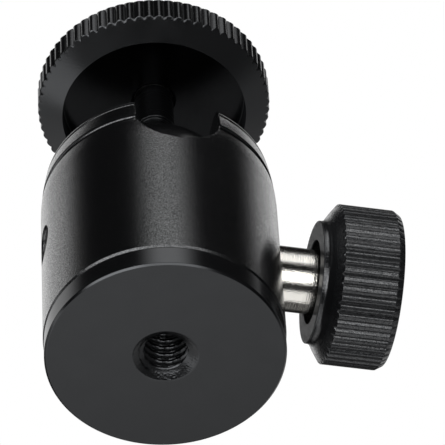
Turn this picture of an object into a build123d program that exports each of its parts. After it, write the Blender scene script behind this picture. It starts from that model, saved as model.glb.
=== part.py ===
from build123d import *
import math
import os

# A small tripod ball head, in millimetres. +Z is up and the origin is the centre
# of the flat base face. The lock knob points along +X, the side notch that lets
# the stem drop level opens towards -Y, and the side set screw is on -X.

# ---- Driving dimensions ----------------------------------------------------

RUNNING = 0.05            # radial clearance of a turning or sliding fit
THREAD_R = 3.175          # quarter-inch camera thread, major radius

BALL_R = 10.0
BALL_Z = 28.6             # height of the ball's centre
SEAT_R = 10.1             # spherical seats, a little larger than the ball

BASE_R = 14.5
BASE_T = 3.1              # thickness of the visible base disc
BASE_CHAMFER = 0.25
SPIGOT_R = 12.0           # threaded spigot of the base, inside the body
SPIGOT_TOP = 6.5
BOSS_R = 5.2              # boss round the blind end of the base thread
BOSS_TOP = 9.0
BASE_THREAD_R = 3.2
BASE_THREAD_TOP = 7.6
SINK_R = 3.95             # countersink at the mouth of the base thread
SINK_DEPTH = 0.4

BODY_R = 14.6
BODY_TOP = 34.0
BODY_EDGE = 0.35          # small chamfer above the seam
TAPER_Z = 25.1            # the wall is straight up to here, then curves in
GROOVE_Z = 28.4           # middle of the turned groove
GROOVE_R = 14.4           # outer radius at the groove
GROOVE_W = 0.85
GROOVE_DEPTH = 0.4
LINE_Z = 31.1             # middle of the fine turned line
LINE_W = 0.3
LINE_DEPTH = 0.3
RIM_R = 14.0              # start of the rounded shoulder
RIM_Z = 31.6
LIP_R = 10.4              # outer edge of the flat top
CAVITY_R = 11.0
CAVITY_BOTTOM = 6.6
CAVITY_TOP = 32.3

NOTCH_HALF = 5.2          # half width of the side notch
NOTCH_ARC_Z = 29.2        # centre of its round bottom

LOCK_Z = 17.0             # height of the lock screw's axis
SHANK_R = 4.0             # bright shank of the lock screw
SHANK_INNER_X = 11.2
SHANK_CHAMFER = 0.3
KNOB_SEAT_X = 20.5        # where the shank steps down inside the knob
SPINDLE_R = 2.95
SPINDLE_END_X = 24.4
SPINDLE_BORE_X = 18.5     # bottom of the spindle's threaded end bore
KNOB_SCREW_TIP_X = 19.0
KNOB_SCREW_R = 1.95
KNOB_SCREW_HEAD_R = 3.5
KNOB_SCREW_HEAD_T = 1.8
KNOB_SCREW_HEX_R = 1.7
KNOB_SCREW_HEX_DEPTH = 1.2
WASHER_T = 0.5

PIN_R = 3.2               # head of the push pin
PIN_TIP_R = 0.8
PIN_TIP_X = 7.2
PIN_CONE_X = 10.2         # where the cone meets the head
PIN_HEAD_X = 11.1
PIN_SHANK_R = 1.52
PIN_BORE_R = 1.6
PIN_BORE_END_X = 16.6
THRUST_BALL_R = 1.5
THRUST_BALL_X = 14.95

KNOB_R = 9.9
KNOB_FACE_X = 18.7        # inner face of the collar
COLLAR_R = 7.6
COLLAR_END_X = 19.35
FLARE_MID = (20.0, 8.65)  # distance along the axis and radius, half way up the flare
KNURL_START_X = 21.0
KNOB_END_X = 28.42
KNOB_CHAMFER_X = 0.8      # the end chamfer along the axis
KNOB_CHAMFER_R = 0.5      # and across it
KNOB_COUNTERBORE_R = 4.95
KNOB_RIDGES = 52
KNOB_GROOVE_R = 0.3
CAP_R = 6.5
CAP_RECESS = 1.2
CAP_RIM = 1.0             # width of the cap's raised rim
CAP_DISH = 0.25           # depth of the dish inside it
CAP_CHAMFER = 0.3
KEY_R = 0.8
KEY_OFFSET = 3.2
KEY_LENGTH = 3.6
KEY_PLAY = 0.02

SIDE_Z = 17.9             # height of the side set screw
SIDE_HOLE_R = 2.25
SIDE_SCREW_OUTER_X = -13.4
SIDE_SCREW_INNER_X = -11.1
SIDE_DOG_X = -9.5
SIDE_DOG_R = 1.4
SIDE_HEX_R = 1.25
SIDE_HEX_DEPTH = 1.4

CUP_R = 10.8
CUP_BOTTOM = 12.0
CUP_TOP = 23.8
CUP_SLOT_HALF = 1.6
CUP_SLOT_TOP = 20.4
CUP_SLOT_X = -9.2
POCKET_PLAY = 0.2         # room round the push pin, so the cup can drop
POCKET_END_PLAY = 0.3

SPRING_R = 7.0            # mean radius of the coil
SPRING_WIRE_R = 0.5
SPRING_PITCH = 1.6
SPRING_END_PLAY = 0.02

SEAT_RING_BOTTOM = 25.2
SEAT_RING_TOP = 32.2

STEM_COLLAR_R = 3.4       # collar at the foot of the stem, on the ball
STEM_COLLAR_TOP = 40.4
STEM_CHAMFER = 0.3
WAIST_R = 2.1             # turned waist between the collar and the neck
WAIST_TOP = 43.1
NECK_R = 2.5
STEM_TOP = 49.3
STUD_LOW_R = 1.5          # lower end of the camera screw, inside the stem
STUD_BOTTOM = 43.4
RELIEF_R = 2.45           # the camera screw below its free thread
RELIEF_TOP = 52.65
STUD_TOP = 57.4
STUD_CHAMFER = 0.5

DISC_R = 14.75
DISC_BOTTOM = 46.1        # rim of the recess
DISC_RECESS_R = 11.67
DISC_EDGE_Z = 47.75       # lower edge of the knurl, at the top of the bevel
DISC_TOP = 51.3
DISC_CHAMFER = 0.25
DISC_SINK = 0.35          # countersink round the neck, in the floor of the recess
DISC_RIDGES = 72
DISC_GROOVE_R = 0.32

PAD_R = 12.4
PAD_HOLE_R = 3.5
PAD_WASHER_T = 0.25
PAD_T = 1.0

# ---- Derived values --------------------------------------------------------

lock_axis = Axis((0, 0, LOCK_Z), (1, 0, 0))
collar_foot_z = BALL_Z + math.sqrt(SEAT_R**2 - STEM_COLLAR_R**2)
foot_mid_r = SEAT_R * math.sin(math.asin(STEM_COLLAR_R / SEAT_R) / 2)
foot_mid_z = BALL_Z + SEAT_R * math.cos(math.asin(STEM_COLLAR_R / SEAT_R) / 2)
washer_x = SPINDLE_END_X + 2 * RUNNING
pin_slope = (PIN_R - PIN_TIP_R) / (PIN_CONE_X - PIN_TIP_X)
pocket_r = PIN_R + POCKET_PLAY
pocket_x = PIN_CONE_X - POCKET_PLAY
pocket_end_x = PIN_TIP_X - POCKET_END_PLAY
pocket_end_r = pocket_r - pin_slope * (pocket_x - pocket_end_x)
screw_head_x = washer_x + WASHER_T
pad_washer_bottom = DISC_TOP + RUNNING
pad_bottom = pad_washer_bottom + PAD_WASHER_T
cap_floor_x = KNOB_END_X - CAP_RECESS
spring_seat_z = SPIGOT_TOP + WASHER_T

os.makedirs("parts", exist_ok=True)

# ---- Body shell ------------------------------------------------------------
# A turned housing: straight wall, gentle taper, groove and fine line near the
# top, rounded shoulder, bored for the cup, the ball and the base's spigot.

with BuildPart() as body_shell:
    with BuildSketch(Plane.XZ):
        with BuildLine():
            seam = Line((BODY_R - BODY_EDGE, BASE_T), (BODY_R, BASE_T + BODY_EDGE))
            wall = Line(seam @ 1, (BODY_R, TAPER_Z))
            taper = TangentArc(wall @ 1, (RIM_R, RIM_Z), tangent=(0, 1))
            shoulder = TangentArc(taper @ 1, (LIP_R, BODY_TOP), tangent=(-0.45, 1))
            Polyline(shoulder @ 1, (0, BODY_TOP), (0, BASE_T), seam @ 0)
        make_face()
    revolve(axis=Axis.Z)
    with BuildSketch(Plane.XZ):
        with Locations((GROOVE_R, GROOVE_Z)):
            Rectangle(2 * GROOVE_DEPTH, GROOVE_W)
        with Locations((RIM_R, LINE_Z)):
            Rectangle(2 * LINE_DEPTH, LINE_W)
    revolve(axis=Axis.Z, mode=Mode.SUBTRACT)
    with BuildSketch(Plane.XY.offset(CAVITY_BOTTOM)):
        Circle(CAVITY_R)
    extrude(amount=CAVITY_TOP - CAVITY_BOTTOM, mode=Mode.SUBTRACT)
    with BuildSketch(Plane.XY.offset(BASE_T)):
        Circle(SPIGOT_R + RUNNING)
    extrude(amount=CAVITY_BOTTOM - BASE_T, mode=Mode.SUBTRACT)
    with Locations((0, 0, BALL_Z)):
        Sphere(SEAT_R + RUNNING, mode=Mode.SUBTRACT)
    with BuildSketch(Plane.XZ):
        with Locations((0, NOTCH_ARC_Z)):
            Circle(NOTCH_HALF)
        with Locations((0, NOTCH_ARC_Z)):
            Rectangle(2 * NOTCH_HALF, BODY_R, align=(Align.CENTER, Align.MIN))
    extrude(amount=2 * BODY_R, mode=Mode.SUBTRACT)
    with BuildSketch(Plane.YZ):
        with Locations((0, LOCK_Z)):
            Circle(SHANK_R + RUNNING)
    extrude(amount=2 * BODY_R, mode=Mode.SUBTRACT)
    with BuildSketch(Plane.YZ):
        with Locations((0, SIDE_Z)):
            Circle(SIDE_HOLE_R)
    extrude(amount=-2 * BODY_R, mode=Mode.SUBTRACT)
body_shell.part.label = "body_shell"

# ---- Base plate ------------------------------------------------------------
# A flat disc with a threaded spigot and a blind quarter-inch hole.

with BuildPart() as base_plate:
    with BuildSketch(Plane.XZ):
        with BuildLine():
            Polyline(
                (SINK_R, 0),
                (BASE_R - BASE_CHAMFER, 0),
                (BASE_R, BASE_CHAMFER),
                (BASE_R, BASE_T),
                (SPIGOT_R, BASE_T),
                (SPIGOT_R, SPIGOT_TOP),
                (BOSS_R, SPIGOT_TOP),
                (BOSS_R, BOSS_TOP),
                (0, BOSS_TOP),
                (0, BASE_THREAD_TOP),
                (BASE_THREAD_R, BASE_THREAD_TOP),
                (BASE_THREAD_R, SINK_DEPTH),
                close=True,
            )
        make_face()
    revolve(axis=Axis.Z)
base_plate.part.label = "base_plate"

# ---- Side set screw --------------------------------------------------------
# Its dog point keys the pressing cup, so the cup rises without turning.

with BuildPart() as side_set_screw:
    with BuildSketch(Plane.YZ.offset(SIDE_SCREW_OUTER_X)):
        with Locations((0, SIDE_Z)):
            Circle(SIDE_HOLE_R - RUNNING)
    extrude(amount=SIDE_SCREW_INNER_X - SIDE_SCREW_OUTER_X)
    with BuildSketch(Plane.YZ.offset(SIDE_SCREW_INNER_X)):
        with Locations((0, SIDE_Z)):
            Circle(SIDE_DOG_R)
    extrude(amount=SIDE_DOG_X - SIDE_SCREW_INNER_X)
    with BuildSketch(Plane.YZ.offset(SIDE_SCREW_OUTER_X)):
        with Locations((0, SIDE_Z)):
            RegularPolygon(radius=SIDE_HEX_R, side_count=6)
    extrude(amount=SIDE_HEX_DEPTH, mode=Mode.SUBTRACT)
side_set_screw.part.label = "side_set_screw"

# ---- Pressing cup, its spring and the spring's washer ----------------------
# The push pin's cone wedges into the cup's side pocket and lifts the cup
# against the ball.

with BuildPart() as pressing_cup:
    with BuildSketch(Plane.XY.offset(CUP_BOTTOM)):
        Circle(CUP_R)
    extrude(amount=CUP_TOP - CUP_BOTTOM)
    with Locations((0, 0, BALL_Z)):
        Sphere(SEAT_R, mode=Mode.SUBTRACT)
    with BuildSketch(Plane.XZ):
        with BuildLine():
            Polyline(
                (pocket_end_x, LOCK_Z),
                (pocket_end_x, LOCK_Z + pocket_end_r),
                (pocket_x, LOCK_Z + pocket_r),
                (BODY_R, LOCK_Z + pocket_r),
                (BODY_R, LOCK_Z),
                close=True,
            )
        make_face()
    revolve(axis=lock_axis, mode=Mode.SUBTRACT)
    with BuildSketch(Plane.XY.offset(CUP_BOTTOM)):
        with Locations((CUP_SLOT_X, 0)):
            Rectangle(CUP_R, 2 * CUP_SLOT_HALF, align=(Align.MAX, Align.CENTER))
    extrude(amount=CUP_SLOT_TOP - CUP_BOTTOM, mode=Mode.SUBTRACT)
pressing_cup.part.label = "pressing_cup"

with BuildPart() as cup_spring:
    with BuildLine() as coil:
        Helix(
            pitch=SPRING_PITCH,
            height=CUP_BOTTOM - spring_seat_z - 2 * SPRING_WIRE_R,
            radius=SPRING_R,
            center=(0, 0, spring_seat_z + SPRING_WIRE_R),
        )
    with BuildSketch(Plane(origin=coil.wires()[0] @ 0, z_dir=coil.wires()[0] % 0)):
        Circle(SPRING_WIRE_R - SPRING_END_PLAY)
    sweep()
cup_spring.part.label = "cup_spring"

with BuildPart() as spring_washer:
    with BuildSketch(Plane.XY.offset(SPIGOT_TOP)):
        Circle(SPRING_R + 2 * SPRING_WIRE_R)
        Circle(SPRING_R - 2 * SPRING_WIRE_R, mode=Mode.SUBTRACT)
    extrude(amount=WASHER_T)
spring_washer.part.label = "spring_washer"

# ---- Ball seat ring --------------------------------------------------------
# A thin slippery liner round the ball's upper half, open at the notch.

with BuildPart() as ball_seat_ring:
    with BuildSketch(Plane.XY.offset(SEAT_RING_BOTTOM)):
        Circle(CAVITY_R - RUNNING)
    extrude(amount=SEAT_RING_TOP - SEAT_RING_BOTTOM)
    with Locations((0, 0, BALL_Z)):
        Sphere(SEAT_R, mode=Mode.SUBTRACT)
    with BuildSketch(Plane.XZ):
        with Locations((0, NOTCH_ARC_Z)):
            Circle(NOTCH_HALF + RUNNING)
        with Locations((0, NOTCH_ARC_Z)):
            Rectangle(2 * (NOTCH_HALF + RUNNING), BODY_R, align=(Align.CENTER, Align.MIN))
    extrude(amount=2 * BODY_R, mode=Mode.SUBTRACT)
ball_seat_ring.part.label = "ball_seat_ring"

# ---- Ball and stem ---------------------------------------------------------

with BuildPart() as ball:
    with Locations((0, 0, BALL_Z)):
        Sphere(BALL_R)
ball.part.label = "ball"

with BuildPart() as stem:
    with BuildSketch(Plane.XZ):
        with BuildLine():
            foot = ThreePointArc(
                (0, BALL_Z + SEAT_R),
                (foot_mid_r, foot_mid_z),
                (STEM_COLLAR_R, collar_foot_z),
            )
            Polyline(
                foot @ 1,
                (STEM_COLLAR_R, STEM_COLLAR_TOP - STEM_CHAMFER),
                (STEM_COLLAR_R - STEM_CHAMFER, STEM_COLLAR_TOP),
                (WAIST_R, STEM_COLLAR_TOP),
                (WAIST_R, WAIST_TOP - (NECK_R - WAIST_R)),
                (NECK_R, WAIST_TOP),
                (NECK_R, STEM_TOP),
                (STUD_LOW_R + RUNNING, STEM_TOP),
                (STUD_LOW_R + RUNNING, STUD_BOTTOM - RUNNING),
                (0, STUD_BOTTOM - RUNNING),
                foot @ 0,
            )
        make_face()
    revolve(axis=Axis.Z)
stem.part.label = "stem"

# ---- Camera screw, turning disc, washer and pad ----------------------------

with BuildPart() as camera_screw:
    with BuildSketch(Plane.XZ):
        with BuildLine():
            Polyline(
                (0, STUD_BOTTOM),
                (STUD_LOW_R, STUD_BOTTOM),
                (STUD_LOW_R, STEM_TOP + RUNNING),
                (RELIEF_R, STEM_TOP + RUNNING),
                (RELIEF_R, RELIEF_TOP),
                (THREAD_R, RELIEF_TOP),
                (THREAD_R, STUD_TOP - STUD_CHAMFER),
                (THREAD_R - STUD_CHAMFER, STUD_TOP),
                (0, STUD_TOP),
                close=True,
            )
        make_face()
    revolve(axis=Axis.Z)
camera_screw.part.label = "camera_screw"

with BuildPart() as platform_disc:
    with BuildSketch(Plane.XY.offset(DISC_BOTTOM)):
        Circle(DISC_R)
        with PolarLocations(DISC_R, DISC_RIDGES):
            Circle(DISC_GROOVE_R, mode=Mode.SUBTRACT)
    extrude(amount=DISC_TOP - DISC_BOTTOM)
    with BuildSketch(Plane.XZ):
        with BuildLine():
            Polyline(
                (RELIEF_R + RUNNING, STEM_TOP + DISC_SINK),
                (RELIEF_R + RUNNING + DISC_SINK, STEM_TOP),
                (DISC_RECESS_R, STEM_TOP),
                (DISC_RECESS_R, DISC_BOTTOM),
                (DISC_R - DISC_CHAMFER, DISC_EDGE_Z),
                (DISC_R, DISC_EDGE_Z + DISC_CHAMFER),
                (DISC_R, DISC_TOP - DISC_CHAMFER),
                (DISC_R - DISC_CHAMFER, DISC_TOP),
                (RELIEF_R + RUNNING, DISC_TOP),
                close=True,
            )
        make_face()
    revolve(axis=Axis.Z, mode=Mode.INTERSECT)
platform_disc.part.label = "platform_disc"

with BuildPart() as pad_washer:
    with BuildSketch(Plane.XY.offset(pad_washer_bottom)):
        Circle(PAD_R)
        Circle(PAD_HOLE_R, mode=Mode.SUBTRACT)
    extrude(amount=PAD_WASHER_T)
pad_washer.part.label = "pad_washer"

with BuildPart() as rubber_pad:
    with BuildSketch(Plane.XY.offset(pad_bottom)):
        Circle(PAD_R)
        Circle(PAD_HOLE_R, mode=Mode.SUBTRACT)
    extrude(amount=PAD_T)
rubber_pad.part.label = "rubber_pad"

# ---- Lock screw, push pin and thrust ball ----------------------------------

with BuildPart() as lock_screw:
    with BuildSketch(Plane.XZ):
        with BuildLine():
            Polyline(
                (SHANK_INNER_X, LOCK_Z + PIN_BORE_R),
                (SHANK_INNER_X, LOCK_Z + SHANK_R - SHANK_CHAMFER),
                (SHANK_INNER_X + SHANK_CHAMFER, LOCK_Z + SHANK_R),
                (KNOB_SEAT_X, LOCK_Z + SHANK_R),
                (KNOB_SEAT_X, LOCK_Z + SPINDLE_R),
                (SPINDLE_END_X, LOCK_Z + SPINDLE_R),
                (SPINDLE_END_X, LOCK_Z + KNOB_SCREW_R + RUNNING),
                (SPINDLE_BORE_X, LOCK_Z + KNOB_SCREW_R + RUNNING),
                (SPINDLE_BORE_X, LOCK_Z),
                (PIN_BORE_END_X, LOCK_Z),
                (PIN_BORE_END_X, LOCK_Z + PIN_BORE_R),
                close=True,
            )
        make_face()
    revolve(axis=lock_axis)
    with BuildSketch(Plane.YZ.offset(KNOB_SEAT_X)):
        with Locations((0, LOCK_Z + KEY_OFFSET)):
            Circle(KEY_R + KEY_PLAY)
    extrude(amount=SPINDLE_END_X - KNOB_SEAT_X, mode=Mode.SUBTRACT)
lock_screw.part.label = "lock_screw"

with BuildPart() as push_pin:
    with BuildSketch(Plane.XZ):
        with BuildLine():
            Polyline(
                (PIN_TIP_X, LOCK_Z),
                (PIN_TIP_X, LOCK_Z + PIN_TIP_R),
                (PIN_CONE_X, LOCK_Z + PIN_R),
                (PIN_HEAD_X, LOCK_Z + PIN_R),
                (PIN_HEAD_X, LOCK_Z + PIN_SHANK_R),
                (THRUST_BALL_X - THRUST_BALL_R - RUNNING, LOCK_Z + PIN_SHANK_R),
                (THRUST_BALL_X - THRUST_BALL_R - RUNNING, LOCK_Z),
                close=True,
            )
        make_face()
    revolve(axis=lock_axis)
push_pin.part.label = "push_pin"

with BuildPart() as thrust_ball:
    with Locations((THRUST_BALL_X, 0, LOCK_Z)):
        Sphere(THRUST_BALL_R)
thrust_ball.part.label = "thrust_ball"

# ---- Knob and its fasteners ------------------------------------------------

with BuildPart() as knob_grip:
    with BuildSketch(Plane.YZ.offset(KNOB_FACE_X)):
        with Locations((0, LOCK_Z)):
            Circle(KNOB_R)
            with PolarLocations(KNOB_R, KNOB_RIDGES):
                Circle(KNOB_GROOVE_R, mode=Mode.SUBTRACT)
    extrude(amount=KNOB_END_X - KNOB_FACE_X)
    with BuildSketch(Plane.XZ):
        with BuildLine():
            flare_start = (COLLAR_END_X, LOCK_Z + COLLAR_R)
            flare_mid = (FLARE_MID[0], LOCK_Z + FLARE_MID[1])
            flare_end = (KNURL_START_X, LOCK_Z + KNOB_R)
            Spline(flare_start, flare_mid, flare_end, tangents=[(1, 0.2), (1, 0.35)])
            Polyline(
                flare_end,
                (KNOB_END_X - KNOB_CHAMFER_X, LOCK_Z + KNOB_R),
                (KNOB_END_X, LOCK_Z + KNOB_R - KNOB_CHAMFER_R),
                (KNOB_END_X, LOCK_Z + CAP_R + RUNNING),
                (cap_floor_x, LOCK_Z + CAP_R + RUNNING),
                (cap_floor_x, LOCK_Z + SHANK_R + RUNNING),
                (washer_x, LOCK_Z + SHANK_R + RUNNING),
                (washer_x, LOCK_Z + SPINDLE_R + RUNNING),
                (KNOB_SEAT_X, LOCK_Z + SPINDLE_R + RUNNING),
                (KNOB_SEAT_X, LOCK_Z + KNOB_COUNTERBORE_R),
                (KNOB_FACE_X, LOCK_Z + KNOB_COUNTERBORE_R),
                (KNOB_FACE_X, LOCK_Z + COLLAR_R),
                flare_start,
            )
        make_face()
    revolve(axis=lock_axis, mode=Mode.INTERSECT)
    with BuildSketch(Plane.YZ.offset(KNOB_SEAT_X)):
        with Locations((0, LOCK_Z + KEY_OFFSET)):
            Circle(KEY_R + KEY_PLAY)
    extrude(amount=washer_x - KNOB_SEAT_X, mode=Mode.SUBTRACT)
knob_grip.part.label = "knob_grip"

with BuildPart() as knob_washer:
    with BuildSketch(Plane.YZ.offset(washer_x)):
        with Locations((0, LOCK_Z)):
            Circle(SHANK_R)
            Circle(KNOB_SCREW_R + RUNNING, mode=Mode.SUBTRACT)
    extrude(amount=WASHER_T)
knob_washer.part.label = "knob_washer"

with BuildPart() as knob_screw:
    with BuildSketch(Plane.YZ.offset(screw_head_x)):
        with Locations((0, LOCK_Z)):
            Circle(KNOB_SCREW_HEAD_R)
    extrude(amount=KNOB_SCREW_HEAD_T)
    with BuildSketch(Plane.YZ.offset(KNOB_SCREW_TIP_X)):
        with Locations((0, LOCK_Z)):
            Circle(KNOB_SCREW_R)
    extrude(amount=screw_head_x - KNOB_SCREW_TIP_X)
    with BuildSketch(Plane.YZ.offset(screw_head_x + KNOB_SCREW_HEAD_T)):
        with Locations((0, LOCK_Z)):
            RegularPolygon(radius=KNOB_SCREW_HEX_R, side_count=6)
    extrude(amount=-KNOB_SCREW_HEX_DEPTH, mode=Mode.SUBTRACT)
knob_screw.part.label = "knob_screw"

with BuildPart() as knob_key:
    with BuildSketch(Plane.YZ.offset(KNOB_SEAT_X + RUNNING)):
        with Locations((0, LOCK_Z + KEY_OFFSET)):
            Circle(KEY_R)
    extrude(amount=KEY_LENGTH)
knob_key.part.label = "knob_key"

with BuildPart() as knob_end_cap:
    with BuildSketch(Plane.XZ):
        with BuildLine():
            Polyline(
                (cap_floor_x, LOCK_Z),
                (cap_floor_x, LOCK_Z + CAP_R),
                (KNOB_END_X - CAP_CHAMFER, LOCK_Z + CAP_R),
                (KNOB_END_X, LOCK_Z + CAP_R - CAP_CHAMFER),
                (KNOB_END_X, LOCK_Z + CAP_R - CAP_RIM),
                (KNOB_END_X - CAP_DISH, LOCK_Z),
                close=True,
            )
        make_face()
    revolve(axis=lock_axis)
knob_end_cap.part.label = "knob_end_cap"

# ---- One file per piece ----------------------------------------------------

pieces = [
    body_shell, base_plate, side_set_screw, pressing_cup, cup_spring, spring_washer,
    ball_seat_ring, ball, stem, camera_screw, platform_disc, pad_washer, rubber_pad,
    lock_screw, push_pin, thrust_ball, knob_grip, knob_washer, knob_screw, knob_key,
    knob_end_cap,
]
for piece in pieces:
    export_step(piece.part, f"parts/{piece.part.label}.step")
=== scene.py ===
"""The looks of a small tripod ball head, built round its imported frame.

Turned, knurled and threaded pieces are surfaces worked out with numpy, in the frame's own
metres. +X is the lock knob's axis, the side notch opens towards -Y and +Z is up.
"""

import math

import bmesh
import bpy
import numpy as np
from mathutils import Matrix, Vector


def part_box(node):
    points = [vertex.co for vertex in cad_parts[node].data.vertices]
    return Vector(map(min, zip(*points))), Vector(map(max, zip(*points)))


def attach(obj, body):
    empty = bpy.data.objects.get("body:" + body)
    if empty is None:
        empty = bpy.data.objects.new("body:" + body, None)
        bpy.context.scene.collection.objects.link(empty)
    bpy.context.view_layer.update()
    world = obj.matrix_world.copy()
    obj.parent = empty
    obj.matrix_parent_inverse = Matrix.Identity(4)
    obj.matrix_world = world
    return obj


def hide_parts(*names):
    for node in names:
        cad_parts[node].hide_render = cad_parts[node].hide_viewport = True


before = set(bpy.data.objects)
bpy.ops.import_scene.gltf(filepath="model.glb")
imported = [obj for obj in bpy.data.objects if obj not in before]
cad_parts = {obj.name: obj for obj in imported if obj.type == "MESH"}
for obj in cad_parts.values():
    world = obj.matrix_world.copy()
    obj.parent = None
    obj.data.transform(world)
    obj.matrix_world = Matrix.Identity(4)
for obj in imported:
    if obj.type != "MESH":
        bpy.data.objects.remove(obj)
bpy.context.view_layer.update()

# ---- Sizes, in metres ------------------------------------------------------

MM = 0.001
WELD = 0.0001 * MM        # points closer than this are one point
NEAR = 0.0001 * MM        # sizes closer than this are the same
SUPPORT = 0.04 * MM       # from a rounded corner to its supporting point on the flat
EDGE = 0.03 * MM          # from a turned cut to its supporting row on the wall
SHARP = math.radians(40)  # an edge that turns by more than this stays crisp

body_low, body_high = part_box("body_shell")
knob_low, knob_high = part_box("knob_grip")
ball_low, ball_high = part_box("ball")
pad_low, pad_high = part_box("rubber_pad")
washer_low, washer_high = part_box("pad_washer")
side_low, side_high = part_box("side_set_screw")

BODY_R = body_high.x
BODY_BOTTOM = body_low.z
BODY_TOP = body_high.z
LOCK_Z = (knob_low.z + knob_high.z) / 2
SIDE_Z = (side_low.z + side_high.z) / 2
SIDE_HOLE_R = 2.36 * MM
SHANK_HOLE_R = 4.05 * MM
DRILL_START = 9.0 * MM    # where both drills start, inside the cavity
DRILL_END = 20.0 * MM
BALL_R = (ball_high.x - ball_low.x) / 2
BALL_Z = (ball_low.z + ball_high.z) / 2
THREAD_PITCH = 25.4 * MM / 20

# Outlines are in millimetres, and so are the names that end in _MM.
DISC_R_MM = 14.75
RECESS_R_MM, RECESS_TOP_MM = 11.67, 49.3
COLLAR_X_MM = 18.75       # the flat face of the knob's collar
KNOB_R_MM = 9.9
SINK_R_MM = 3.95          # the base hole's countersink at its mouth

# ---- Surfaces --------------------------------------------------------------


def cells(rows, columns, start):
    """Corner numbers of a grid's four-sided cells, its points being numbered row by row."""
    number = start + np.arange(rows * columns).reshape(rows, columns)
    corners = [number[:-1, :-1], number[:-1, 1:], number[1:, 1:], number[1:, :-1]]
    return np.stack(corners, axis=-1).reshape(-1, 4)


def mesh_from(name, grids):
    """One closed mesh from grids of points, each rows x columns x 3. Points that meet are
    welded, faces are turned outwards, and sharp edges stay crisp."""
    points = np.concatenate([grid.reshape(-1, 3) for grid in grids])
    counts = [grid.shape[0] * grid.shape[1] for grid in grids]
    starts = np.cumsum([0] + counts[:-1])
    quads = [cells(*grid.shape[:2], start) for grid, start in zip(grids, starts)]
    faces = np.concatenate(quads)
    mesh = bpy.data.meshes.new(name)
    mesh.vertices.add(len(points))
    mesh.vertices.foreach_set("co", points.astype(np.float32).ravel())
    mesh.loops.add(faces.size)
    mesh.loops.foreach_set("vertex_index", faces.astype(np.int32).ravel())
    mesh.polygons.add(len(faces))
    mesh.polygons.foreach_set("loop_start", np.arange(0, faces.size, 4, dtype=np.int32))
    mesh.update(calc_edges=True)
    welded = bmesh.new()
    welded.from_mesh(mesh)
    bmesh.ops.remove_doubles(welded, verts=welded.verts, dist=WELD)
    bmesh.ops.recalc_face_normals(welded, faces=welded.faces)
    welded.to_mesh(mesh)
    welded.free()
    mesh.polygons.foreach_set("use_smooth", np.ones(len(mesh.polygons), dtype=bool))
    mesh.set_sharp_from_angle(angle=SHARP)
    piece = bpy.data.objects.new(name, mesh)
    bpy.context.scene.collection.objects.link(piece)
    return piece


def rounded(corners, steps=4):
    """A closed outline in metres from corners (radius, height, rounding) in millimetres.
    A corner's curve is (1-s)^2 A + 2s(1-s) P + s^2 B, where A and B lie one rounding before
    and after the corner P, and a supporting point stands just outside each of them."""
    corner = np.array([c[:2] for c in corners]) * MM
    rounding = np.array([c[2] for c in corners]) * MM
    s = np.linspace(0, 1, steps + 1)[:, None]
    outline = []
    for before, here, after, reach in zip(
        np.roll(corner, 1, axis=0), corner, np.roll(corner, -1, axis=0), rounding
    ):
        if reach == 0:
            outline.append(here[None])
            continue
        back, ahead = before - here, after - here
        back, ahead = back / np.linalg.norm(back), ahead / np.linalg.norm(ahead)
        start, end = here + back * reach, here + ahead * reach
        curve = (1 - s) ** 2 * start + 2 * s * (1 - s) * here + s**2 * end
        outline += [(start + back * SUPPORT)[None], curve, (end + ahead * SUPPORT)[None]]
    return np.concatenate(outline + [outline[0][:1]])


def split_long(outline, longest):
    """The outline with every stretch longer than the given length cut into equal shares."""
    lengths = np.linalg.norm(np.diff(outline, axis=0), axis=1)
    shares = np.maximum(1, np.ceil(lengths / longest)).astype(int)
    place = np.concatenate([k + np.arange(n) / n for k, n in enumerate(shares)])
    place = np.append(place, len(lengths))
    order = np.arange(len(outline))
    return np.stack([np.interp(place, order, outline[:, i]) for i in (0, 1)], axis=1)


def upright(radius, height, angle):
    """Round +Z: (r cos a, r sin a, h)."""
    return np.stack(
        np.broadcast_arrays(radius * np.cos(angle), radius * np.sin(angle), height), axis=-1
    )


def sideways(axis_z):
    """Round an axis along +X at the given height: (h, r cos a, axis_z + r sin a)."""

    def place(radius, height, angle):
        across = radius * np.cos(angle)
        above = axis_z + radius * np.sin(angle)
        return np.stack(np.broadcast_arrays(height, across, above), axis=-1)

    return place


def turned(outline, columns, place=upright, shape=None):
    """A grid of the outline turned a full circle. shape may change the radius: it takes
    the outline's radius and height and the angle, and returns the radius there."""
    radius, height = outline[:, :1], outline[:, 1:]
    angle = np.linspace(0, 2 * np.pi, columns + 1)[None]
    if shape is not None:
        radius = shape(radius, height, angle)
    return place(radius, height, angle)


KNURL_CURVE = 1.4
SCATTER_STEP, SCATTER_GAIN = 12.9898, 437.585


def groove_depth(angle, count, depth, width, uneven):
    """Straight knurl grooves: deepest where the angle, counted in ridges, is a whole number,
    and gone half the given width from there, as the power KNURL_CURVE of the share between.
    uneven is how much shallower a groove may be: by a fixed scatter from 0 to 1, which is
    the fraction of gain x sin(step x n) for groove n."""
    turn = angle * count / (2 * np.pi) + 0.5
    away = np.abs(turn % 1 - 0.5) * 2 / width
    rise = np.clip(1 - away, 0, 1)
    groove = np.floor(turn) % count
    scatter = np.modf(np.abs(np.sin(groove * SCATTER_STEP) * SCATTER_GAIN))[0]
    return depth * rise**KNURL_CURVE * (1 - uneven * scatter)


def thread_ridge(height, angle, crest=0.22, root=0.12):
    """A right-handed screw ridge from 0 in the root to 1 on the crest: a triangle wave of
    height / pitch - angle / turn, cut flat at both ends and eased by a smooth step."""
    phase = (height / THREAD_PITCH - angle / (2 * np.pi)) % 1
    wave = 1 - np.abs(2 * phase - 1)
    share = np.clip((wave - root) / (1 - crest - root), 0, 1)
    return share**2 * (3 - 2 * share)


# ---- Finishes --------------------------------------------------------------


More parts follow.
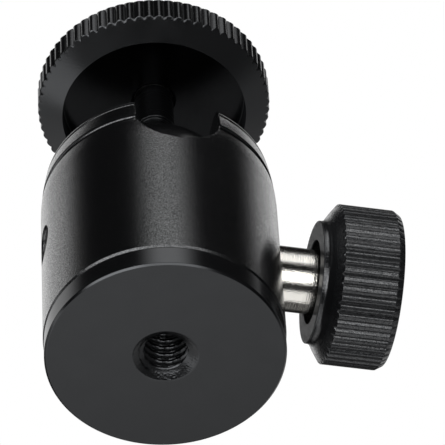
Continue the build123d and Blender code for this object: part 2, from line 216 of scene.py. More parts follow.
class Value:
    """A shader socket that can be used in sums: each operator adds one Math node."""

    def __init__(self, recipe, socket):
        self.recipe = recipe
        self.socket = socket

    def _math(self, operation, first, second):
        return self.recipe.math(operation, first, second)

    def __add__(self, other):
        return self._math("ADD", self, other)

    def __radd__(self, other):
        return self._math("ADD", other, self)

    def __sub__(self, other):
        return self._math("SUBTRACT", self, other)

    def __rsub__(self, other):
        return self._math("SUBTRACT", other, self)

    def __mul__(self, other):
        return self._math("MULTIPLY", self, other)

    def __rmul__(self, other):
        return self._math("MULTIPLY", other, self)


class Recipe:
    """The nodes of one material or of the world."""

    def __init__(self, tree):
        self.tree = tree
        self.tree.nodes.clear()

    def node(self, kind, settings=None, values=None, output=0):
        """Adds a node, sets its settings and then its sockets' values or links."""
        made = self.tree.nodes.new(kind)
        for key, value in (settings or {}).items():
            setattr(made, key, value)
        for key, value in (values or {}).items():
            if isinstance(value, Value):
                self.tree.links.new(value.socket, made.inputs[key])
            else:
                made.inputs[key].default_value = value
        return Value(self, made.outputs[output]) if len(made.outputs) else None

    def math(self, operation, *numbers):
        """A Math node on one or two numbers."""
        return self.node("ShaderNodeMath", {"operation": operation}, dict(enumerate(numbers)))

    def blend(self, factor, first, second):
        """A colour between two colours."""
        values = {0: factor, 6: first, 7: second}
        return self.node("ShaderNodeMix", {"data_type": "RGBA"}, values, 2)

    def place(self, stretch=(1, 1, 1), shift=(0, 0, 0)):
        """The point's place in the object's own metres, stretched by axis and shifted."""
        place = self.node("ShaderNodeTexCoord", output="Object")
        values = {"Vector": place, "Location": shift, "Scale": stretch}
        return self.node("ShaderNodeMapping", {}, values)

    def noise(self, grains, detail, stretch=(1, 1, 1)):
        """Noise with so many grains a metre, stretched by axis."""
        values = {"Vector": self.place(stretch), "Scale": grains, "Detail": detail}
        return self.node("ShaderNodeTexNoise", {}, values)

    def size(self, stretch, shift=(0, 0, 0)):
        """The length of the stretched place: (1, 1, 0) gives the distance from the Z axis."""
        settings = {"operation": "LENGTH"}
        values = {0: self.place(stretch, shift)}
        return self.node("ShaderNodeVectorMath", settings, values, "Value")

    def step(self, value, low, high):
        """A smooth step from 0 at the low value to 1 at the high one."""
        values = {"Value": value, "From Min": low, "From Max": high}
        return self.node("ShaderNodeMapRange", {"interpolation_type": "SMOOTHSTEP"}, values)


def finish(name, colour, grain, height, fixed):
    """A material: colour and grain are made by functions of the recipe, grain returns the
    roughness and the bump's height field, height is the bump's size in metres, and fixed
    gives the shader's other values, as numbers or as functions of the recipe."""
    material = bpy.data.materials.new(name)
    material.use_nodes = True
    recipe = Recipe(material.node_tree)
    roughness, field = grain(recipe)
    relief = {"Strength": 1.0, "Distance": height, "Height": field}
    bump = recipe.node("ShaderNodeBump", {}, relief)
    values = {"Base Color": colour(recipe), "Roughness": roughness, "Normal": bump}
    for key, value in fixed.items():
        values[key] = value(recipe) if callable(value) else value
    shader = recipe.node("ShaderNodeBsdfPrincipled", {}, values)
    recipe.node("ShaderNodeOutputMaterial", {}, {"Surface": shader})
    return material


# Patches and grains are counted by the metre.
ROUGH_PATCHES = 260.0     # slow drift of a blasted surface's roughness
LATHE_ACROSS = 0.02       # how slowly lathe marks change round the piece


def around(roughness, spread, noise):
    """The roughness, spread to both sides by noise."""
    return roughness - spread / 2 + spread * noise


def streaks(r, grains, detail, axis, along, across):
    """Noise that is stretched by one share along the axis and by another across it."""
    stretch = [across, across, across]
    stretch["xyz".index(axis)] = along
    return r.noise(grains, detail, stretch)


def mottled(dark, pale, patches, detail=3.0):
    """A colour that drifts between two tones from patch to patch."""
    return lambda r: r.blend(r.noise(patches, detail), (*dark, 1), (*pale, 1))


def blasted(roughness, grains, spread=0.12):
    """Bead-blasted grain: fine dimples over slow patches of roughness."""

    def grain(r):
        return around(roughness, spread, r.noise(ROUGH_PATCHES, 2.0)), r.noise(grains, 3.0)

    return grain


def ringed(roughness, grains, axis, flecks=3000.0, share=0.3):
    """Lathe marks: noise that changes quickly along the axis and slowly across it, with a
    share of fine flecks."""

    def grain(r):
        rings = streaks(r, grains, 2.0, axis, 1.0, LATHE_ACROSS)
        return around(roughness, 0.1, rings), rings + share * r.noise(flecks, 1.0)

    return grain


COOL = (0.93, 0.96, 1.0, 1)
ANODISED = {"IOR": 1.63, "Specular Tint": COOL}
SMOOTH_ANODISED = {"IOR": 1.56, "Specular Tint": COOL}
PLAIN = {"IOR": 1.5}
METAL = {"Metallic": 1.0}

BLACK = (0.0022, 0.0023, 0.0025)
SOFT_BLACK = (0.0034, 0.0035, 0.0038)
# Bare metal's grey in the set screw's hole, partly painted light inside the hole.
BARE_METAL_AND_PAINTED_LIGHT = (0.42, 0.42, 0.43, 1)


SPARKLES = 7600.0         # coated grains a metre


def sparkle(r):
    """How much of a clear coat there is: none between the blasted grains, all on them."""
    return r.step(r.noise(SPARKLES, 2.0), 0.42, 0.60)


def coated(ior, coat_ior, weight):
    """Anodised metal with a thin clear coat on its grains."""
    return {
        "IOR": ior, "Specular Tint": COOL,
        "Coat Weight": weight, "Coat IOR": coat_ior, "Coat Roughness": 0.22,
    }


def bare_bore_and_painted_light(r):
    """1 in the set screw's hole, which is cut after the body is blackened, and 0 elsewhere.
    The hole's bare metal is also painted light: its grey stands in for light seen inside the
    hole.
    """
    from_axis = r.size((0, 1, 1), (0, 0, -SIDE_Z))
    inside = 1 - r.step(from_axis, SIDE_HOLE_R + 0.01 * MM, SIDE_HOLE_R + 0.05 * MM)
    return inside * r.step(r.size((1, 0, 0)), DRILL_START - 0.1 * MM, DRILL_START)


def body_colour(r):
    """Black, and bare metal in the set screw's hole, whose grey is partly painted light."""
    return r.blend(bare_bore_and_painted_light(r), mottled(BLACK, SOFT_BLACK, 400.0)(r), BARE_METAL_AND_PAINTED_LIGHT)


# The base hole's marks are so many times as high as the grain of the base's face.
THREAD_MARKS, SINK_MARKS = 8.0, 21.0
SINK_TOP = 0.4 * MM


def base_grain(r):
    """Even grain on the base's face and edge, and lathe marks in its hole, which are
    deepest on the countersink. The thread is a little duller."""
    roughness, marks = blasted(0.18, 4200.0, 0.06)(r)
    rings = streaks(r, 3000.0, 2.0, "z", 1.0, LATHE_ACROSS) + 1.2 * r.noise(3400.0, 1.0)
    sink_r = SINK_R_MM * MM
    inside = 1 - r.step(r.size((1, 1, 0)), sink_r - 0.11 * MM, sink_r - 0.01 * MM)
    sink = 1 - r.step(r.size((0, 0, 1)), SINK_TOP, SINK_TOP + 0.3 * MM)
    height = THREAD_MARKS + (SINK_MARKS - THREAD_MARKS) * sink
    duller = 0.06 * inside * (1 - sink)
    return roughness + duller, marks + inside * (height * rings - marks)


# The share of the disc recess's sheen that painted shade takes away.
RECESS_PAINTED_SHADE = 0.85


def recess_painted_shade(r):
    """Painted shade: how much of the sheen is taken away, most of it in the disc's recess,
    where shade falls, and none elsewhere.
    """
    recess_r, recess_top = RECESS_R_MM * MM, RECESS_TOP_MM * MM
    inside = 1 - r.step(r.size((1, 1, 0)), recess_r - 0.01 * MM, recess_r + 0.05 * MM)
    below = 1 - r.step(r.size((0, 0, 1)), recess_top + 0.7 * MM, recess_top + 0.9 * MM)
    return RECESS_PAINTED_SHADE * inside * below


# How the knob's collar differs from its grip.
SIDE_SMOOTHER, FACE_DULLER, FACE_UNCOATED = 0.16, 0.8, 0.6
SHOULDER_X = 20.0 * MM    # where the collar's side ends


def collar_face(r):
    """1 on the flat face of the knob's collar, and 0 on the rest of the knob."""
    face_x = COLLAR_X_MM * MM
    return 1 - r.step(r.size((1, 0, 0)), face_x + 0.03 * MM, face_x + 0.15 * MM)


def knob_grain(r):
    """Marks along the knob's ridges. The collar's side is smoother and its face duller."""
    marks = streaks(r, 4800.0, 3.0, "x", 0.3, 1.0)
    side = 1 - r.step(r.size((1, 0, 0)), SHOULDER_X, SHOULDER_X + 0.2 * MM)
    roughness = around(0.28, 0.12, marks) - SIDE_SMOOTHER * side + FACE_DULLER * collar_face(r)
    return roughness, marks


def knob_sparkle(r):
    """The body's sparkle, weaker on the collar's face."""
    return sparkle(r) * (1 - FACE_UNCOATED * collar_face(r))


# The set screw's hole is bare metal, its grey partly painted light.
body_finish = finish(
    "body_black", body_colour,
    blasted(roughness=0.16, grains=4800.0, spread=0.06), 0.03 * MM,
    {"Metallic": bare_bore_and_painted_light, **coated(ior=1.48, coat_ior=1.56, weight=sparkle)},
)
base_finish = finish(
    "base_black", mottled((0.0028, 0.0029, 0.0032), (0.0038, 0.0039, 0.0043), 700.0),
    base_grain, 0.002 * MM, SMOOTH_ANODISED,
)
# The disc's recess is darkened by painted shade, through its metallic value.
disc_finish = finish(
    "disc_black", mottled(BLACK, SOFT_BLACK, 900.0),
    blasted(roughness=0.19, grains=4800.0), 0.01 * MM,
    {**SMOOTH_ANODISED, "Metallic": recess_painted_shade},
)
knob_finish = finish(
    "knob_black", mottled((0.006, 0.0062, 0.0068), (0.010, 0.0103, 0.0112), 900.0),
    knob_grain, 0.044 * MM, coated(ior=1.52, coat_ior=1.6, weight=knob_sparkle),
)
neck_finish = finish(
    "neck_black", mottled(BLACK, SOFT_BLACK, 900.0),
    ringed(roughness=0.26, grains=4200.0, axis="z"), 0.003 * MM, ANODISED,
)
ball_finish = finish(
    "ball_black", mottled(BLACK, SOFT_BLACK, 700.0),
    blasted(roughness=0.24, grains=3600.0), 0.002 * MM, ANODISED,
)
nickel_finish = finish(
    "shank_nickel", mottled((0.80, 0.775, 0.725), (0.88, 0.86, 0.81), 900.0),
    ringed(roughness=0.14, grains=5200.0, axis="x", flecks=5200.0, share=1.6), 0.014 * MM,
    METAL,
)
steel_finish = finish(
    "bright_steel", mottled((0.50, 0.50, 0.50), (0.62, 0.62, 0.61), 900.0),
    ringed(roughness=0.28, grains=5200.0, axis="z"), 0.004 * MM, METAL,
)
dark_steel_finish = finish(
    "dark_steel", mottled((0.020, 0.020, 0.021), (0.035, 0.035, 0.036), 900.0),
    ringed(roughness=0.60, grains=4200.0, axis="x"), 0.004 * MM, {"Metallic": 0.4},
)
acetal_finish = finish(
    "cup_acetal", mottled((0.70, 0.70, 0.67), (0.78, 0.78, 0.75), 500.0),
    ringed(roughness=0.42, grains=3000.0, axis="z"), 0.004 * MM, PLAIN,
)
liner_finish = finish(
    "liner_acetal", mottled((0.010, 0.010, 0.011), (0.016, 0.016, 0.017), 500.0),
    ringed(roughness=0.40, grains=3000.0, axis="z"), 0.004 * MM, PLAIN,
)
rubber_finish = finish(
    "pad_rubber", mottled((0.012, 0.012, 0.012), (0.022, 0.022, 0.022), 900.0),
    blasted(roughness=0.72, grains=6000.0), 0.012 * MM, PLAIN,
)


def set_on(piece, material, slot, body, *nodes):
    """Gives a piece its finish and its body, and hides the frame nodes that it stands for. The
    slot is not used.
    """
    piece.data.materials.append(material)
    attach(piece, body)
    if nodes:
        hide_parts(*nodes)


def dress(node, material):
    """Gives a frame node a finish, and leaves its shape alone."""
    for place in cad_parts[node].material_slots:
        place.material = material


# ---- Body shell ------------------------------------------------------------
# The wall is a turned outline that is slit by the notch. Every row of the grid runs from
# the notch's right edge round the back to its left edge.

TAPER_Z = 25.1 * MM
RIM_R, RIM_Z = 14.0 * MM, 31.6 * MM
KNEE_R, KNEE_Z = 12.9 * MM, BODY_TOP - 0.02 * MM
LIP_R = 10.4 * MM
# Round-bottomed cuts, each with the height of its middle, half its width and its depth.
GROOVE = (28.16 * MM, 0.64 * MM, 0.5 * MM)
LINE = (31.12 * MM, 0.28 * MM, 0.22 * MM)
SEAM_EDGE = 0.28 * MM     # bevel above the seam
NOTCH_HALF, NOTCH_Z = 5.2 * MM, 29.2 * MM
NOTCH_EDGE = 0.16 * MM    # rounding where the notch meets the wall
SETTLE_Z = 22.0 * MM      # below this, inner and outer rows are level
SPIGOT_R, SPIGOT_TOP = 12.05 * MM, 6.6 * MM
CAVITY_R, CAVITY_TOP = 11.0 * MM, 32.3 * MM
SOCKET_R = 10.15 * MM
# Rows stand close together above FINE_Z, where the wall bends and the notch begins.
FINE_Z = 23.5 * MM
FINE_ROW, COARSE_ROW = 0.2 * MM, 0.7 * MM
CUT_ROWS, SHOULDER_ROWS = 17, 19
BODY_COLUMNS = 300


def wall_radius(z):
    """The outer wall: straight, then an arc that starts upright at the taper's foot and
    reaches the rim."""
    rise, fall = RIM_Z - TAPER_Z, BODY_R - RIM_R
    bend = (rise**2 + fall**2) / (2 * fall)
    above = np.clip(z - TAPER_Z, 0, None)
    return BODY_R - (bend - np.sqrt(bend**2 - above**2))


def cut_depth(z, cut):
    """How deep a turned cut is at each height: half an ellipse, depth sqrt(1 - u^2), where u
    is the height above its middle in half widths."""
    middle, half, depth = cut
    return depth * np.sqrt(np.clip(1 - ((z - middle) / half) ** 2, 0, None))


def outer_rows():
    """Radii and heights of the outer wall from the seam to the rim, and of the shoulder,
    which is the curve (1-s)^2 rim + 2s(1-s) knee + s^2 lip."""
    steps = [BODY_BOTTOM, BODY_BOTTOM + EDGE, BODY_BOTTOM + SEAM_EDGE - EDGE]
    steps += [BODY_BOTTOM + SEAM_EDGE, BODY_BOTTOM + SEAM_EDGE + EDGE]
    steps += list(np.arange(BODY_BOTTOM + SEAM_EDGE + 0.32 * MM, FINE_Z - EDGE, COARSE_ROW))
    steps += list(np.arange(FINE_Z, RIM_Z, FINE_ROW))
    for middle, half, _ in (GROOVE, LINE):
        steps = [z for z in steps if abs(z - middle) > half + EDGE]
        steps += [middle - half - EDGE, middle + half + EDGE]
        steps += list(middle - half * np.cos(np.linspace(0, np.pi, CUT_ROWS)))
    z = np.unique(np.round(steps, 8))
    z = z[z < RIM_Z - 0.01 * MM]
    bevel = np.clip(BODY_BOTTOM + SEAM_EDGE - z, 0, SEAM_EDGE)
    r = wall_radius(z) - cut_depth(z, GROOVE) - cut_depth(z, LINE) - bevel
    s = np.linspace(0, 1, SHOULDER_ROWS)[:, None]
    rim, knee, lip = np.array([(RIM_R, RIM_Z), (KNEE_R, KNEE_Z), (LIP_R, BODY_TOP)])
    shoulder = (1 - s) ** 2 * rim + 2 * s * (1 - s) * knee + s**2 * lip
    return np.concatenate([r, shoulder[:, 0]]), np.concatenate([z, shoulder[:, 1]])


def notch_half_width(z, half):
    """Half the notch's width at a height: a half circle below its centre, straight above."""
    drop = np.clip(NOTCH_Z - z, 0, half)
    return np.sqrt(half**2 - drop**2)


def body_grids():
    """The shell's wall, its inside and the two walls of the notch, as grids to weld. An
    inner row stands a little above its outer row near the notch, by the edge's rounding,
    so that the two meet squarely on the notch's walls."""
    outer_r, outer_z = outer_rows()
    wide = NOTCH_HALF + NOTCH_EDGE
    foot = NOTCH_Z - wide
    below = np.clip((outer_z - SETTLE_Z) / (foot - SETTLE_Z), 0, 1) * NOTCH_EDGE
    arc = (NOTCH_Z - outer_z) * NOTCH_EDGE / wide
    inner_z = outer_z + np.where(outer_z < foot, below, np.clip(arc, 0, NOTCH_EDGE))
    inner_r = np.where(inner_z < SPIGOT_TOP, SPIGOT_R, CAVITY_R)
    lip_r = np.sqrt(np.clip(SOCKET_R**2 - (inner_z - BALL_Z) ** 2, 0, None))
    inner_r = np.where(inner_z > CAVITY_TOP, lip_r, inner_r)

    outer_w = notch_half_width(outer_z, wide)
    inner_w = notch_half_width(inner_z, NOTCH_HALF)
    cut = outer_z > foot - NEAR
    edge = np.stack([outer_w, -np.sqrt(outer_r**2 - outer_w**2), outer_z], axis=1)[cut]
    wall = np.stack([inner_w, -np.sqrt(outer_r**2 - inner_w**2), inner_z], axis=1)[cut]
    inside = np.stack([inner_w, -np.sqrt(inner_r**2 - inner_w**2), inner_z], axis=1)[cut]
    sunk = wall + np.array([0, NOTCH_EDGE, 0])
    s = np.linspace(0, 1, 5)[:, None, None]
    curve = (1 - s) ** 2 * edge + 2 * s * (1 - s) * wall + s**2 * sunk
    t = np.linspace(0, 1, 6)[1:, None, None]
    flat = sunk + t * (inside - sunk)
    right = np.concatenate([curve, flat])
    left = right * np.array([-1, 1, 1])

    top = right[1:-1, -1]
    top_r = np.hypot(top[:, 0], top[:, 1])
    radius = np.concatenate([outer_r, top_r, inner_r[::-1], outer_r[:1]])
    height = np.concatenate([outer_z, top[:, 2], inner_z[::-1], outer_z[:1]])
    width = np.concatenate([outer_w, top[:, 0], inner_w[::-1], outer_w[:1]])
    gap = np.arcsin(np.clip(width / radius, 0, 1))[:, None]
    share = np.linspace(0, 1, BODY_COLUMNS + 1)[None]
    angle = -np.pi / 2 + gap + share * (2 * np.pi - 2 * gap)
    loop = upright(radius[:, None], height[:, None], angle)
    return [loop, right, left]


def drilled(piece, name, radius, start_x, end_x, axis_z, flare):
    """Drills a round hole along X through the wall. The drill is a cylinder that widens
    by a small flare where it leaves the wall, so the hole's mouth has a broken edge."""
    mouth_x = math.copysign(math.sqrt(BODY_R**2 - radius**2), end_x)
    reach = math.copysign(flare, end_x)
    wider = radius + 2 * flare
    along = [start_x, mouth_x - reach, mouth_x + reach, end_x, end_x, start_x]
    across = [radius, radius, wider, wider, 0, 0]
    outline = np.array([across, along]).T
    outline = np.concatenate([outline, outline[:1]])
    drill = mesh_from(name, [turned(outline, columns=96, place=sideways(axis_z))])
    cut = piece.modifiers.new(name, "BOOLEAN")
    cut.operation = "DIFFERENCE"
    cut.solver = "EXACT"
    cut.object = drill
    graph = bpy.context.evaluated_depsgraph_get()
    done = bpy.data.meshes.new_from_object(piece.evaluated_get(graph))
    piece.modifiers.clear()
    piece.data = done
    bpy.data.objects.remove(drill)


housing = mesh_from("housing", body_grids())
drilled(housing, "shank_drill", SHANK_HOLE_R, DRILL_START, DRILL_END, LOCK_Z, 0.06 * MM)
drilled(housing, "side_drill", SIDE_HOLE_R, -DRILL_START, -DRILL_END, SIDE_Z, 0.12 * MM)
housing.data.set_sharp_from_angle(angle=SHARP)
set_on(housing, body_finish, "body_black", "root", "body_shell")

# ---- Base plate ------------------------------------------------------------

SINK_SLOPE = 1.55         # how fast the countersink narrows with height
CREST_DEPTH = 0.62 * MM   # from a thread's root to its crest
BORE_R_MM, BORE_TOP_MM = 3.2, 7.6


def base_thread(radius, height, angle):
    """The blind hole's wall carries a screw ridge, cut back by the countersink's cone."""
    sink_r = SINK_R_MM * MM
    ridge = CREST_DEPTH * thread_ridge(height, angle)
    threaded = np.maximum(BORE_R_MM * MM - ridge, sink_r - SINK_SLOPE * height)
    in_bore = (radius > NEAR) & (radius < sink_r + NEAR)
    between = (height > NEAR) & (height < BORE_TOP_MM * MM - NEAR)
    return np.where(in_bore & between, np.minimum(threaded, sink_r), radius)


base_outline = rounded([
    (14.25, 0, 0.04), (14.5, 0.25, 0.05), (14.5, 3.1, 0.16), (12.0, 3.1, 0), (12.0, 6.5, 0),
    (5.2, 6.5, 0), (5.2, 9.0, 0), (0, 9.0, 0), (0, BORE_TOP_MM, 0),
    (BORE_R_MM, BORE_TOP_MM, 0), (BORE_R_MM, 0.4, 0), (SINK_R_MM, 0, 0.05),
])
base_rows = split_long(base_outline, 0.09 * MM)
base = mesh_from("base", [turned(base_rows, columns=192, shape=base_thread)])
set_on(base, base_finish, "base_black", "root", "base_plate")

# ---- Side set screw --------------------------------------------------------

HEX_R_MM = 1.2            # the outline's radius that stands for the six-sided socket
HEX_FLAT = 1.08 * MM      # from the socket's middle to its flats


def hexagon(radius, height, angle):
    """A six-sided socket: r / cos(a - 60 degrees x nearest whole number) where it is sunk."""
    sixth = np.pi / 3
    six_sided = HEX_FLAT / np.cos(angle - sixth * np.round(angle / sixth))
    return np.where(np.abs(radius - HEX_R_MM * MM) < NEAR, six_sided, radius)


set_screw_outline = rounded([
    (HEX_R_MM, -14.1, 0), (2.2, -14.1, 0.15), (2.2, -11.1, 0.05), (1.4, -11.1, 0),
    (1.4, -9.5, 0.1), (0, -9.5, 0), (0, -12.3, 0), (HEX_R_MM, -12.3, 0),
])
set_screw_grid = turned(set_screw_outline, columns=72, place=sideways(SIDE_Z), shape=hexagon)
set_screw = mesh_from("set_screw", [set_screw_grid])
set_on(set_screw, dark_steel_finish, "dark_steel", "root", "side_set_screw")

# ---- Ball and neck ---------------------------------------------------------

polar = np.linspace(0, np.pi, 97)
ball_outline = np.stack([BALL_R * np.sin(polar), BALL_Z - BALL_R * np.cos(polar)], axis=1)
ball_skin = mesh_from("ball_skin", [turned(ball_outline, columns=160)])
set_on(ball_skin, ball_finish, "ball_black", "ball", "ball")

# The neck's foot is a hollow that follows the ball, from the middle to the collar's side.
FOOT_R_MM = 10.1
NECK_COLLAR_R_MM = 3.4
foot_turn = np.linspace(0, math.asin(NECK_COLLAR_R_MM / FOOT_R_MM), 9)
foot = [
    (FOOT_R_MM * math.sin(turn), BALL_Z / MM + FOOT_R_MM * math.cos(turn), 0)
    for turn in foot_turn
]
neck_outline = rounded(foot + [
    (NECK_COLLAR_R_MM, 40.1, 0.12), (3.1, 40.4, 0.12), (2.1, 40.4, 0.15), (2.1, 43.1, 0.1),
    (2.5, 43.1, 0.1), (2.5, 49.3, 0.06), (1.55, 49.3, 0), (1.55, 43.35, 0), (0, 43.35, 0),
])
neck = mesh_from("neck", [turned(split_long(neck_outline, 0.6 * MM), columns=120)])
set_on(neck, neck_finish, "ball_black", "stem", "stem")

# ---- Camera stud, thumb disc, washer and pad -------------------------------

STUD_R_MM, STUD_STEP_MM = 3.175, 52.65


def stud_thread(radius, height, angle):
    """The upper stud's wall is cut back between the turns of a screw ridge, as far up as the
    tip's cone."""
    cut_back = CREST_DEPTH * (1 - thread_ridge(height, angle))
    upper = (radius > 3.0 * MM) & (height > STUD_STEP_MM * MM + EDGE)
    return np.where(upper, radius - cut_back, radius)


stud_outline = rounded([
    (0, 43.4, 0), (1.5, 43.4, 0), (1.5, 49.35, 0), (2.45, 49.35, 0), (2.45, STUD_STEP_MM, 0),
    (STUD_R_MM, STUD_STEP_MM, 0), (STUD_R_MM, 56.9, 0), (2.55, 57.4, 0.05), (0, 57.4, 0),
])
stud_rows = split_long(stud_outline, 0.1 * MM)
stud = mesh_from("camera_stud", [turned(stud_rows, columns=144, shape=stud_thread)])
set_on(stud, steel_finish, "bright_steel", "stud", "camera_screw")

DISC_RIDGES = 72


def disc_edge(radius, height, angle):
    """The disc's rim is no wider than its knurl lets it be."""
    grooves = groove_depth(angle, DISC_RIDGES, depth=0.38 * MM, width=0.85, uneven=0.15)
    return np.minimum(radius, DISC_R_MM * MM - grooves)


disc_outline = rounded([
    (2.5, 49.65, 0), (2.85, RECESS_TOP_MM, 0.05), (RECESS_R_MM, RECESS_TOP_MM, 0.15),
    (RECESS_R_MM, 46.1, 0.07), (14.22, 47.587, 0), (14.3, 47.633, 0), (14.63, 47.826, 0.02),
    (DISC_R_MM, 47.95, 0.03), (DISC_R_MM, 51.05, 0.04), (14.5, 51.3, 0.03), (2.5, 51.3, 0),
])
disc_grid = turned(disc_outline, columns=DISC_RIDGES * 12, shape=disc_edge)
disc = mesh_from("thumb_disc", [disc_grid])
set_on(disc, disc_finish, "disc_black", "disc", "platform_disc")

PAD_R_MM, PAD_HOLE_R_MM = 12.4, 3.5
washer_bottom, washer_top = washer_low.z / MM, washer_high.z / MM
washer_outline = rounded([
    (PAD_HOLE_R_MM, washer_bottom, 0.03), (PAD_R_MM, washer_bottom, 0.05),
    (PAD_R_MM, washer_top, 0.05), (PAD_HOLE_R_MM, washer_top, 0.03),
])
washer = mesh_from("washer_ring", [turned(washer_outline, columns=180)])
set_on(washer, steel_finish, "bright_steel", "pad", "pad_washer")

# The pad's face is ribbed in rings: a wave (1 - cos 2 pi n s) / 2 of the share s between
# the inner and the outer rib, n being the number of ribs.
PAD_RIBS = 16
RIB_OUT_MM, RIB_IN_MM, RIB_DEPTH_MM = 12.1, 3.9, 0.18
pad_bottom, pad_top = pad_low.z / MM, pad_high.z / MM
rib_r = np.linspace(RIB_OUT_MM, RIB_IN_MM, PAD_RIBS * 10 + 1)
rib_share = (rib_r - RIB_IN_MM) / (RIB_OUT_MM - RIB_IN_MM)
rib_wave = 0.5 - 0.5 * np.cos(rib_share * PAD_RIBS * 2 * np.pi)
ribs = [(r, pad_top - RIB_DEPTH_MM * (1 - wave), 0) for r, wave in zip(rib_r, rib_wave)]
pad_outline = rounded(
    [(PAD_HOLE_R_MM, pad_bottom, 0), (PAD_R_MM, pad_bottom, 0), (PAD_R_MM, pad_top, 0.15)]
    + ribs + [(PAD_HOLE_R_MM, pad_top, 0.12)]
)
pad = mesh_from("ribbed_pad", [turned(pad_outline, columns=160)])
set_on(pad, rubber_finish, "pad_rubber", "pad", "rubber_pad")

# ---- Lock shank and knob ---------------------------------------------------

lock_place = sideways(LOCK_Z)
shank_outline = rounded([
    (0, 11.2, 0), (3.7, 11.2, 0.05), (4.0, 11.5, 0.05), (4.0, 20.5, 0.08), (2.95, 20.5, 0),
    (2.95, 24.4, 0.1), (0, 24.4, 0),
])
shank_rows = split_long(shank_outline, 1.0 * MM)
shank = mesh_from("lock_shank", [turned(shank_rows, columns=160, place=lock_place)])
set_on(shank, nickel_finish, "shank_nickel", "knob", "lock_screw")

KNOB_RIDGES = 52


def knob_edge(radius, height, angle):
    """The grip is no wider than its knurl lets it be."""
    grooves = groove_depth(angle, KNOB_RIDGES, depth=0.36 * MM, width=0.66, uneven=0.45)
    return np.minimum(radius, KNOB_R_MM * MM - grooves)


# The flare from the collar out to the grip: radius and place are start + reach x t^power.
flare_turn = np.linspace(0, 1, 9)[2:-1]
flare = [(7.72 + 2.12 * t**1.1, 19.58 + 1.38 * t**1.3, 0) for t in flare_turn]
collar = [
    (5.2, 20.5, 0), (5.2, COLLAR_X_MM, 0.08), (7.6, COLLAR_X_MM, 0.12), (7.6, 19.45, 0.42),
]
grip = [
    (KNOB_R_MM, 21.0, 0.04), (KNOB_R_MM, 27.62, 0.05), (9.4, 28.42, 0.05), (6.55, 28.42, 0.06),
    (6.55, 27.22, 0), (4.05, 27.22, 0), (4.05, 24.5, 0), (3.0, 24.5, 0), (3.0, 20.5, 0),
]
knob_outline = rounded(collar + flare + grip)
knob_columns = KNOB_RIDGES * 14
knob_grid = turned(knob_outline, columns=knob_columns, place=lock_place, shape=knob_edge)
knob = mesh_from("grip", [knob_grid])
set_on(knob, knob_finish, "knob_black", "knob", "knob_grip")

cap_outline = rounded([
    (0, 27.22, 0), (6.5, 27.22, 0), (6.5, 28.12, 0.05), (6.2, 28.42, 0.05), (5.5, 28.42, 0.08),
    (5.2, 28.2, 0.08), (0, 28.17, 0),
])
cap = mesh_from("knob_cap", [turned(cap_outline, columns=160, place=lock_place)])
set_on(cap, knob_finish, "knob_black", "knob", "knob_end_cap")

# ---- Hidden pieces keep their solids ---------------------------------------

for node, material in {
    "pressing_cup": acetal_finish,
    "cup_spring": steel_finish,
    "spring_washer": steel_finish,
    "ball_seat_ring": liner_finish,
    "push_pin": steel_finish,
    "thrust_ball": steel_finish,
    "knob_washer": steel_finish,
    "knob_screw": dark_steel_finish,
    "knob_key": steel_finish,
}.items():
    dress(node, material)

# ---- Camera ----------------------------------------------------------------
# The view is from below. Right, up and forward are the camera's axes once it is rolled.

TILT = math.radians(50.15)
ROLL = math.radians(3.68)
SWING = math.radians(13.6)
OFF_RIGHT, OFF_UP, DISTANCE = -6.77 * MM, -15.97 * MM, 532.0 * MM
FOCAL_PX, FRAME_PX = 4466.0, 445.0


def swung(vector):
    """Turns a vector from the camera's own bearing into the frame's."""
    return Matrix.Rotation(-SWING, 3, "Z") @ Vector(vector)


flat_right = swung((1, 0, 0))
flat_up = swung((0, -math.sin(TILT), math.cos(TILT)))
forward = swung((0, math.cos(TILT), math.sin(TILT)))
right = math.cos(ROLL) * flat_right - math.sin(ROLL) * flat_up
up = math.sin(ROLL) * flat_right + math.cos(ROLL) * flat_up

camera_data = bpy.data.cameras.new("view")
camera = bpy.data.objects.new("view", camera_data)
bpy.context.scene.collection.objects.link(camera)
camera.location = -OFF_RIGHT * right - OFF_UP * up - DISTANCE * forward
axes = Matrix((right, up, -forward)).transposed()
camera.rotation_mode = "QUATERNION"
camera.rotation_quaternion = axes.to_quaternion()
camera_data.sensor_width = 36.0
camera_data.lens = FOCAL_PX * camera_data.sensor_width / FRAME_PX
camera_data.clip_start = 0.01
camera_data.clip_end = 10.0
bpy.context.scene.camera = camera

# ---- Floor, lamps and world ------------------------------------------------

FLOOR_HALF, FLOOR_Z = 3.0, -0.01 * MM
floor_mesh = bpy.data.meshes.new("floor")
floor_corners = [
    (x * FLOOR_HALF, y * FLOOR_HALF, FLOOR_Z) for x, y in ((-1, -1), (1, -1), (1, 1), (-1, 1))
]
floor_mesh.from_pydata(floor_corners, [], [(0, 1, 2, 3)])
floor = bpy.data.objects.new("floor", floor_mesh)
bpy.context.scene.collection.objects.link(floor)
floor_material = bpy.data.materials.new("pale_floor")
floor_material.use_nodes = True
floor_recipe = Recipe(floor_material.node_tree)
floor_tone = mottled((0.80, 0.80, 0.80), (0.84, 0.84, 0.84), 6.0, 2.0)(floor_recipe)
floor_paint = floor_recipe.node("ShaderNodeBsdfDiffuse", {}, {"Color": floor_tone})
floor_clear = floor_recipe.node("ShaderNodeBsdfTransparent")
from_below = floor_recipe.node("ShaderNodeNewGeometry", output="Backfacing")
floor_shader = floor_recipe.node(
    "ShaderNodeMixShader", {}, {0: from_below, 1: floor_paint, 2: floor_clear}
)
floor_recipe.node("ShaderNodeOutputMaterial", {}, {"Surface": floor_shader})
floor_mesh.materials.append(floor_material)
floor.visible_glossy = False
floor.visible_diffuse = False
floor.visible_transmission = False
floor.visible_shadow = False

AIM = Vector((0, 0, 0.03))


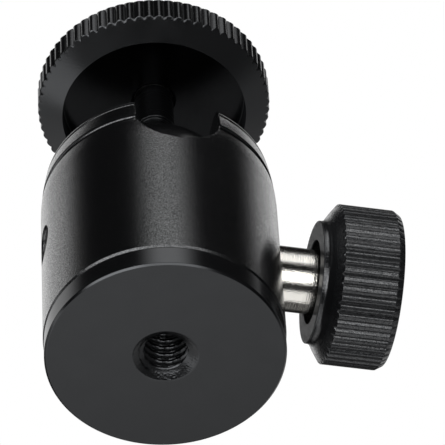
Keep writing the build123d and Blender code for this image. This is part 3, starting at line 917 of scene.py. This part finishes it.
def lamp(name, bearing, height, distance, size, power):
    """A square soft lamp, aimed at the object from a bearing and a height in degrees."""
    data = bpy.data.lights.new(name, "AREA")
    data.shape = "SQUARE"
    data.size = size
    data.energy = power
    made = bpy.data.objects.new(name, data)
    bpy.context.scene.collection.objects.link(made)
    turn, rise = math.radians(bearing), math.radians(height)
    out = Vector((math.sin(turn), -math.cos(turn), 0)) * math.cos(rise)
    out.z = math.sin(rise)
    made.location = AIM + out * distance
    made.rotation_mode = "QUATERNION"
    made.rotation_quaternion = out.to_track_quat("Z", "Y")
    made.visible_glossy = False


lamp("key", bearing=-40, height=55, distance=0.8, size=0.35, power=4.0)
lamp("fill", bearing=60, height=35, distance=0.9, size=0.5, power=2.0)
lamp("low", bearing=-10, height=-40, distance=0.9, size=0.5, power=1.6)

# What shiny surfaces see: soft boxes, each with its brightness and two ranges of direction.
# A range is an angle's name, its low end, its high end and half the width of its soft edge,
# in degrees. Bearing counts from the front towards the right, elevation from the horizon
# up, pitch from the front upwards round the upright plane, and across from the middle.
SOFT_BOXES = [
    (1.85, ("bearing", -10, 27, 13), ("elevation", 13, 55, 7)),       # in front, above
    (1.20, ("across", 20, 45, 4), ("elevation", 63, 80, 2)),          # right, high
    (0.84, ("bearing", -170, -93, 14), ("elevation", 34, 66, 8)),     # left
    (0.52, ("bearing", -170, -95, 14), ("elevation", -50, 0, 8)),     # left, below
    (0.25, ("bearing", -100, -50, 15), ("elevation", -72, -42, 8)),   # left, low
    (0.80, ("bearing", 107, 166, 16), ("elevation", 4, 62, 8)),       # right
    (0.33, ("bearing", 112, 166, 12), ("elevation", -40, 4, 8)),      # right, below
    (0.12, ("across", 20, 75, 6), ("elevation", -80, -30, 8)),        # right, low
    (2.60, ("pitch", -59, -23, 5), ("across", -12, 30, 8)),           # in front, below
    (4.00, ("pitch", -59, -23, 5), ("across", -52, -12, 5)),          # in front, below, left
    (0.94, ("pitch", -133.5, -92, 2), ("across", -90, 22, 12)),       # behind, below
    (0.12, ("pitch", 108, 142, 8), ("across", -25, 25, 10)),          # behind, above
]
ROOM = 0.006               # brightness between the boxes
FILL = 0.55                # brightness that dull surfaces get from all round


def studio(recipe):
    """The brightness that a shiny surface sees, by direction: the room's, and each box's
    level times the rise and fall of its two ranges."""
    ray = recipe.node("ShaderNodeTexCoord", output="Generated")

    def along(vector):
        settings = {"operation": "DOT_PRODUCT"}
        return recipe.node("ShaderNodeVectorMath", settings, {0: ray, 1: vector}, "Value")

    def degrees(operation, *numbers):
        return recipe.math(operation, *numbers) * (180 / math.pi)

    front = along(tuple(-swung((0, 1, 0))))
    right_of = along(tuple(swung((1, 0, 0))))
    above = along((0, 0, 1))
    angles = {
        "bearing": degrees("ARCTAN2", right_of, front),
        "elevation": degrees("ARCSINE", above),
        "pitch": degrees("ARCTAN2", above, front),
        "across": degrees("ARCSINE", right_of),
    }

    def rise(name, middle, edge):
        return recipe.step(angles[name], middle - edge, middle + edge)

    total = ROOM
    for level, *ranges in SOFT_BOXES:
        share = level
        for name, low, high, edge in ranges:
            share = share * (rise(name, low, edge) - rise(name, high, edge))
        total = total + share
    return total


world = bpy.data.worlds.new("studio")
bpy.context.scene.world = world
world.use_nodes = True
sky = Recipe(world.node_tree)
seen = sky.node("ShaderNodeLightPath", output="Is Camera Ray")
mirrored = sky.node("ShaderNodeLightPath", output="Is Glossy Ray")
through = sky.node("ShaderNodeLightPath", output="Is Transmission Ray")
backdrop = sky.blend(mirrored, (1, 1, 1, 1), studio(sky))
shown = sky.math("MAXIMUM", sky.math("MAXIMUM", seen, mirrored), through)
light = sky.blend(shown, (FILL, FILL, FILL, 1), backdrop)
background = sky.node("ShaderNodeBackground", {}, {"Color": light, "Strength": 1.0})
sky.node("ShaderNodeOutputWorld", {}, {"Surface": background})

bpy.context.scene.view_settings.view_transform = "Standard"
